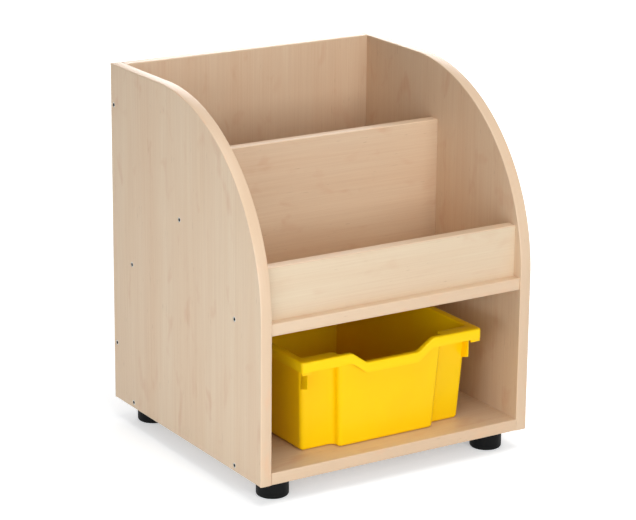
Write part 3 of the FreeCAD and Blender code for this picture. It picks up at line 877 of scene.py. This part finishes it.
for cut in cuts:
    pick(tray, "FACE", crosses_front)
    bpy.ops.mesh.bisect(plane_co=(cut, 0, 0), plane_no=(1, 0, 0))
pick(tray, "VERT", lambda v: abs(v.co.x - middle_x) < DIP_LOW_HALF + HAIR
     and v.co.z > tray_high.z - RIM_EDGE - MM and v.co.y < panel_y + MM)
bpy.ops.transform.translate(value=(0, 0, -DIP_DEPTH))
pick(tray, "VERT", lambda v: near(v.co.z, tray_high.z - DIP_DEPTH) and near(v.co.y, panel_y))
bpy.ops.transform.translate(value=(0, DIP_DEPTH * math.tan(TRAY_DRAFT), 0))
pick(tray, "EDGE", lambda e: all(v.co.y < panel_y + 2 * lean for v in e.verts)
     and any(all(near(v.co.x, cut) for v in e.verts) for cut in cuts))
bpy.ops.mesh.bevel(offset=DIP_BEND, segments=4, profile=0.5, affect="EDGES")
print("hand dip", DIP_DEPTH, "deep")

# %% [markdown]
# ## Soft edges and the wall
#
# A moulding has no sharp folds. Bevels soften the fold around the floor and the folds of the rim
# while the sheet is still thin, because Solidify then gives both skins their own radius. The
# faces that close the sheet's free edge are put in a group called lip, which is rounded last.

# %% Soft edges and thickness
BASE_ROUNDING = 3.0 * MM
RIM_BEND = 2.6 * MM
SHARP_FOLD = 0.9
pick(tray, "EDGE", lambda e: all(near(v.co.z, tray_low.z + TRAY_WALL) for v in e.verts)
     and not all(faces_up(f) for f in e.link_faces))
bpy.ops.mesh.bevel(offset=BASE_ROUNDING, segments=4, profile=0.5, affect="EDGES")
pick(tray, "EDGE", lambda e: len(e.link_faces) == 2 and e.calc_face_angle() > SHARP_FOLD
     and min(v.co.z for v in e.verts) > tray_high.z - DIP_DEPTH - MM)
bpy.ops.mesh.bevel(offset=RIM_BEND, segments=4, profile=0.5, affect="EDGES")
bpy.ops.object.mode_set(mode="OBJECT")
tray.vertex_groups.new(name="lip")
wall = tray.modifiers.new("wall", "SOLIDIFY")
wall.thickness = TRAY_WALL
wall.offset = -1.0
wall.use_even_offset = True
wall.use_quality_normals = True
wall.rim_vertex_group = "lip"
bpy.ops.object.modifier_apply(modifier="wall")
print("tray sheet has", len(tray.data.polygons), "faces")

# %% Lip of the turned-down edge
LIP_ROUNDING = 0.6 * MM
on_lip = {vertex.index for vertex in tray.data.vertices if len(vertex.groups)}
bpy.ops.object.mode_set(mode="EDIT")
pick(tray, "EDGE", lambda e: all(v.index in on_lip for v in e.verts)
     and e.calc_face_angle(0.0) > SHARP_FOLD)
bpy.ops.mesh.bevel(offset=LIP_ROUNDING, segments=2, profile=0.5, affect="EDGES")
bpy.ops.object.mode_set(mode="OBJECT")
print("lip rounded")

# %% [markdown]
# ## Corner fins and tabs
#
# Under both front corners a small upright fin joins the rim to the wall and guides the tray
# between runners, and a tab behind the front edge closes the corner. They are thin boxes. The
# fin's lower edge rises towards the front, its back follows the wall's slope, and it is thicker
# at the wall than at its free edge.

# %% Fin and tab sizes
FIN_HEIGHT = 34.0 * MM
FIN_REACH = 11.5 * MM
FIN_RISE = 4.5 * MM
FIN_TAPER = 1.2 * MM
FIN_THIN = 0.5 * MM
FIN_INSET = 2.0 * MM
TAB_SETBACK = 2.0 * MM
TAB_BELOW = 4.5 * MM
TAB_INSET = 0.6 * TRAY_WALL
RIB_ROUNDING = 0.5 * MM
rim_middle = tray_high.z - TRAY_WALL / 2
fin_foot = tray_high.z - RIM_EDGE - FIN_HEIGHT
wall_y = tray_low.y + PANEL_OVERHANG + RECESS_STEP
wall_lean = (RIM_EDGE + FIN_HEIGHT) * math.tan(TRAY_DRAFT)
print("fins reach down to", fin_foot)

# %% Corner fins and tabs
ribs = []
for side, edge_x in ((-1, tray_low.x), (1, tray_high.x)):
    outer = edge_x - side * (RIM_OVERHANG + FIN_INSET + wall_lean)
    inner = outer - side * TRAY_WALL
    fin = start_box("fin", (min(outer, inner), wall_y - FIN_REACH, fin_foot),
                    (max(outer, inner), wall_y + TRAY_WALL / 2, rim_middle))
    pick(fin, "VERT", lambda v: v.co.z < fin_foot + MM and v.co.y < wall_y)
    bpy.ops.transform.translate(value=(0, 0, FIN_RISE))
    pick(fin, "VERT", lambda v: v.co.z < fin_foot + FIN_RISE and v.co.y > wall_y)
    bpy.ops.transform.translate(value=(0, (rim_middle - fin_foot) * math.tan(TRAY_DRAFT), 0))
    for on_face, way in ((min(outer, inner), -1), (max(outer, inner), 1)):
        pick(fin, "VERT", lambda v: near(v.co.x, on_face) and v.co.y > wall_y)
        bpy.ops.transform.translate(value=(way * FIN_TAPER, 0, 0))
        pick(fin, "VERT", lambda v: near(v.co.x, on_face) and v.co.y < wall_y)
        bpy.ops.transform.translate(value=(-way * FIN_THIN, 0, 0))
    bpy.ops.object.mode_set(mode="OBJECT")
    tab_end = edge_x - side * TAB_INSET
    tab_y = tray_low.y + TAB_SETBACK
    tab_foot = tray_high.z - RIM_EDGE - TAB_BELOW
    tab = start_box("tab", (min(tab_end, inner), tab_y, tab_foot),
                    (max(tab_end, inner), tab_y + TRAY_WALL, rim_middle))
    bpy.ops.object.mode_set(mode="OBJECT")
    ribs += [fin, tab]
print(len(ribs), "fins and tabs")

# %% Join the tray
for rib in ribs:
    choose(rib)
    soft = rib.modifiers.new("soft", "BEVEL")
    soft.width = RIB_ROUNDING
    soft.segments = 2
    bpy.ops.object.modifier_apply(modifier="soft")
choose(tray, *ribs)
bpy.ops.object.join()
finish_piece(tray, "tray", yellow_plastic, "tray")

# %% [markdown]
# ## Feet
#
# Each foot is a black moulded cup, 48 mm across, that is screwed up into the bottom shelf. From
# a cylinder it takes one bevel around the bottom, a pocket for the screw's head from below, and
# from above a ring-shaped hollow that leaves the wall and the boss in the middle. Joining the
# two hole outlines with faces opens the way for the screw.

# %% Foot sizes
FOOT_RADIUS = 24.0 * MM
FOOT_WALL = 3.0 * MM
FOOT_FLOOR = 5.0 * MM
FOOT_ROUNDING = 4.0 * MM
BOSS_RADIUS = 10.0 * MM
POCKET_RADIUS = 6.5 * MM
POCKET_DEPTH = 12.0 * MM
BOLT_HOLE_RADIUS = 3.1 * MM
FOOT_SIDES = 64
print("feet are", 2 * FOOT_RADIUS, "wide, bosses", 2 * BOSS_RADIUS)


# %% One foot
def make_foot(node):
    """One foot in the place of its node."""
    low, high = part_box(node)
    middle = (low + high) / 2
    height = high.z - low.z
    bpy.ops.object.select_all(action="DESELECT")
    bpy.ops.mesh.primitive_cylinder_add(vertices=FOOT_SIDES, radius=FOOT_RADIUS, depth=height,
                                        location=middle)
    piece = bpy.context.object
    piece.name = node + "_moulding"
    piece.data.name = piece.name
    bpy.ops.object.transform_apply(location=True, rotation=True, scale=True)
    bpy.ops.object.mode_set(mode="EDIT")
    pick(piece, "EDGE", lambda e: all(near(v.co.z, low.z) for v in e.verts))
    bpy.ops.mesh.bevel(offset=FOOT_ROUNDING, segments=6, profile=0.5, affect="EDGES")
    pick(piece, "FACE", lambda f: faces_down(f) and len(f.verts) == FOOT_SIDES)
    bpy.ops.mesh.inset(thickness=FOOT_RADIUS - FOOT_ROUNDING - POCKET_RADIUS)
    bpy.ops.mesh.extrude_region_move(TRANSFORM_OT_translate={"value": (0, 0, POCKET_DEPTH)})
    bpy.ops.mesh.inset(thickness=POCKET_RADIUS - BOLT_HOLE_RADIUS)
    pick(piece, "FACE", faces_up)
    bpy.ops.mesh.inset(thickness=FOOT_WALL)
    bpy.ops.mesh.inset(thickness=FOOT_RADIUS - FOOT_WALL - BOSS_RADIUS)
    bpy.ops.mesh.inset(thickness=BOSS_RADIUS - BOLT_HOLE_RADIUS)

    def far_out(face):
        return (face.calc_center_median() - middle).xy.length

    pick(piece, "FACE", lambda f: faces_up(f)
         and BOSS_RADIUS < far_out(f) < FOOT_RADIUS - FOOT_WALL)
    bpy.ops.mesh.extrude_region_move(TRANSFORM_OT_translate={"value": (0, 0, FOOT_FLOOR - height)})
    pick(piece, "FACE", lambda f: (faces_up(f) or faces_down(f)) and far_out(f) < HAIR)
    bpy.ops.mesh.bridge_edge_loops()
    finish_piece(piece, "cabinet", black_plastic, node)


print("foot helper ready")

# %% Feet
for node in list(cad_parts):
    if node.endswith("_foot"):
        make_foot(node)

# %% [markdown]
# ## Connecting screws
#
# Only the heads show, but each screw is whole. It starts as the hexagon mouth of its socket, one
# loop of edges that is pulled outwards into a circle for the head, then down along the rim, the
# countersink, the shank and the point. The same mouth is pulled down for the socket. The screws
# stand where the frame's own screws stand.

# %% Screw sizes
SCREW_HEAD_RADIUS = 4.0 * MM
SCREW_RIM = 0.8 * MM
SCREW_SHANK_RADIUS = 2.5 * MM
SCREW_POINT = 5.0 * MM
SCREW_POINT_RADIUS = 1.0 * MM
SOCKET_ACROSS = 5.0 * MM
SOCKET_CORNER = SOCKET_ACROSS / math.sqrt(3)
SOCKET_DEPTH = 1.5 * MM
SCREW_ROUNDING = 0.25 * MM
CUTS_PER_SIDE = 3
print("heads are", 2 * SCREW_HEAD_RADIUS, "wide, sockets", SOCKET_ACROSS)


# %% Screw helpers
def spot_key(vertex):
    """A vertex's place in a form that a set can hold."""
    return tuple(round(c, 6) for c in vertex.co)


def stretch_loop(rise, factor):
    """Pull the selected loop into a new ring of faces, then scale it."""
    bpy.ops.mesh.extrude_region_move(TRANSFORM_OT_translate={"value": (0, 0, rise)})
    bpy.ops.transform.resize(value=(factor, factor, 1))


print("screw helpers ready")


# %% One screw
def make_screw(head, way, length):
    """One screw, from the middle of its head along the way it goes in."""
    bpy.ops.object.select_all(action="DESELECT")
    bpy.ops.mesh.primitive_circle_add(vertices=6, radius=SOCKET_CORNER)
    screw = bpy.context.object
    bpy.ops.object.mode_set(mode="EDIT")
    bpy.ops.mesh.select_mode(type="EDGE")
    bpy.ops.mesh.select_all(action="SELECT")
    bpy.ops.mesh.subdivide(number_cuts=CUTS_PER_SIDE)
    mouth = {spot_key(v) for v in bmesh.from_edit_mesh(screw.data).verts}
    bpy.ops.mesh.extrude_region_move()
    bpy.ops.transform.tosphere(value=1)
    ring = [v.co.xy.length for v in bmesh.from_edit_mesh(screw.data).verts if v.select]
    grow = SCREW_HEAD_RADIUS * len(ring) / sum(ring)
    bpy.ops.transform.resize(value=(grow, grow, 1))
    cone = SCREW_HEAD_RADIUS - SCREW_SHANK_RADIUS
    stretch_loop(SCREW_RIM, 1.0)
    stretch_loop(cone, SCREW_SHANK_RADIUS / SCREW_HEAD_RADIUS)
    stretch_loop(length - SCREW_RIM - cone - SCREW_POINT, 1.0)
    stretch_loop(SCREW_POINT, SCREW_POINT_RADIUS / SCREW_SHANK_RADIUS)
    bpy.ops.mesh.edge_face_add()
    pick(screw, "VERT", lambda v: spot_key(v) in mouth)
    bpy.ops.mesh.extrude_region_move(TRANSFORM_OT_translate={"value": (0, 0, SOCKET_DEPTH)})
    bpy.ops.mesh.edge_face_add()
    pick(screw, "EDGE", lambda e: all(near(v.co.z, 0) and near(v.co.xy.length, SCREW_HEAD_RADIUS)
                                      for v in e.verts))
    bpy.ops.mesh.bevel(offset=SCREW_ROUNDING, segments=2, profile=0.5, affect="EDGES")
    bpy.ops.mesh.select_all(action="SELECT")
    bpy.ops.mesh.normals_make_consistent(inside=False)
    bpy.ops.object.mode_set(mode="OBJECT")
    # The socket's floor is marked, so that the zinc finish paints a shade there.
    depths = screw.data.attributes.new("socket_depth", "FLOAT", "POINT")
    for vertex, stored in zip(screw.data.vertices, depths.data):
        in_socket = near(vertex.co.z, SOCKET_DEPTH) and vertex.co.xy.length < SOCKET_CORNER + HAIR
        stored.value = SOCKET_DEPTH if in_socket else 0.0
    turn = Vector(way).to_track_quat("Z", "Y").to_matrix().to_4x4()
    screw.matrix_world = Matrix.Translation(head) @ turn
    choose(screw)
    bpy.ops.object.transform_apply(location=True, rotation=True, scale=True)
    return screw


print("one screw ready to make")


# %% Places of the screws
def screw_heads(node, way):
    """The middles of a node's screw heads, and the length of its screws.

    The corners at the very start of the screws lie on the heads' outlines. Those that are close
    together belong to one head.
    """
    way = Vector(way)
    corners = [v.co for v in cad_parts[node].data.vertices]
    start = min(c.dot(way) for c in corners)
    groups = []
    for corner in (c for c in corners if near(c.dot(way), start)):
        group = next((g for g in groups if (g[0] - corner).length < 3 * SCREW_HEAD_RADIUS), None)
        if group is None:
            groups.append([corner])
        else:
            group.append(corner)
    middles = [Vector([(min(c[i] for c in g) + max(c[i] for c in g)) / 2 for i in range(3)])
               for g in groups]
    return middles, max(c.dot(way) for c in corners) - start


print("place helper ready")

# %% Screws
RIGHT, LEFT = (1, 0, 0), (-1, 0, 0)
SCREW_WAYS = {"left_side_screws": RIGHT, "right_side_screws": LEFT,
              "rail_screws": UP, "divider_screws": UP}
for node, way in SCREW_WAYS.items():
    heads, length = screw_heads(node, way)
    screws = [make_screw(head, way, length) for head in heads]
    choose(*screws)
    bpy.ops.object.join()
    piece = bpy.context.object
    piece.name = node.replace("screws", "connecting_screws")
    piece.data.name = piece.name
    finish_piece(piece, "cabinet", zinc, node)
    print(node, "has", len(heads), "screws of", round(length / MM, 1), "mm")
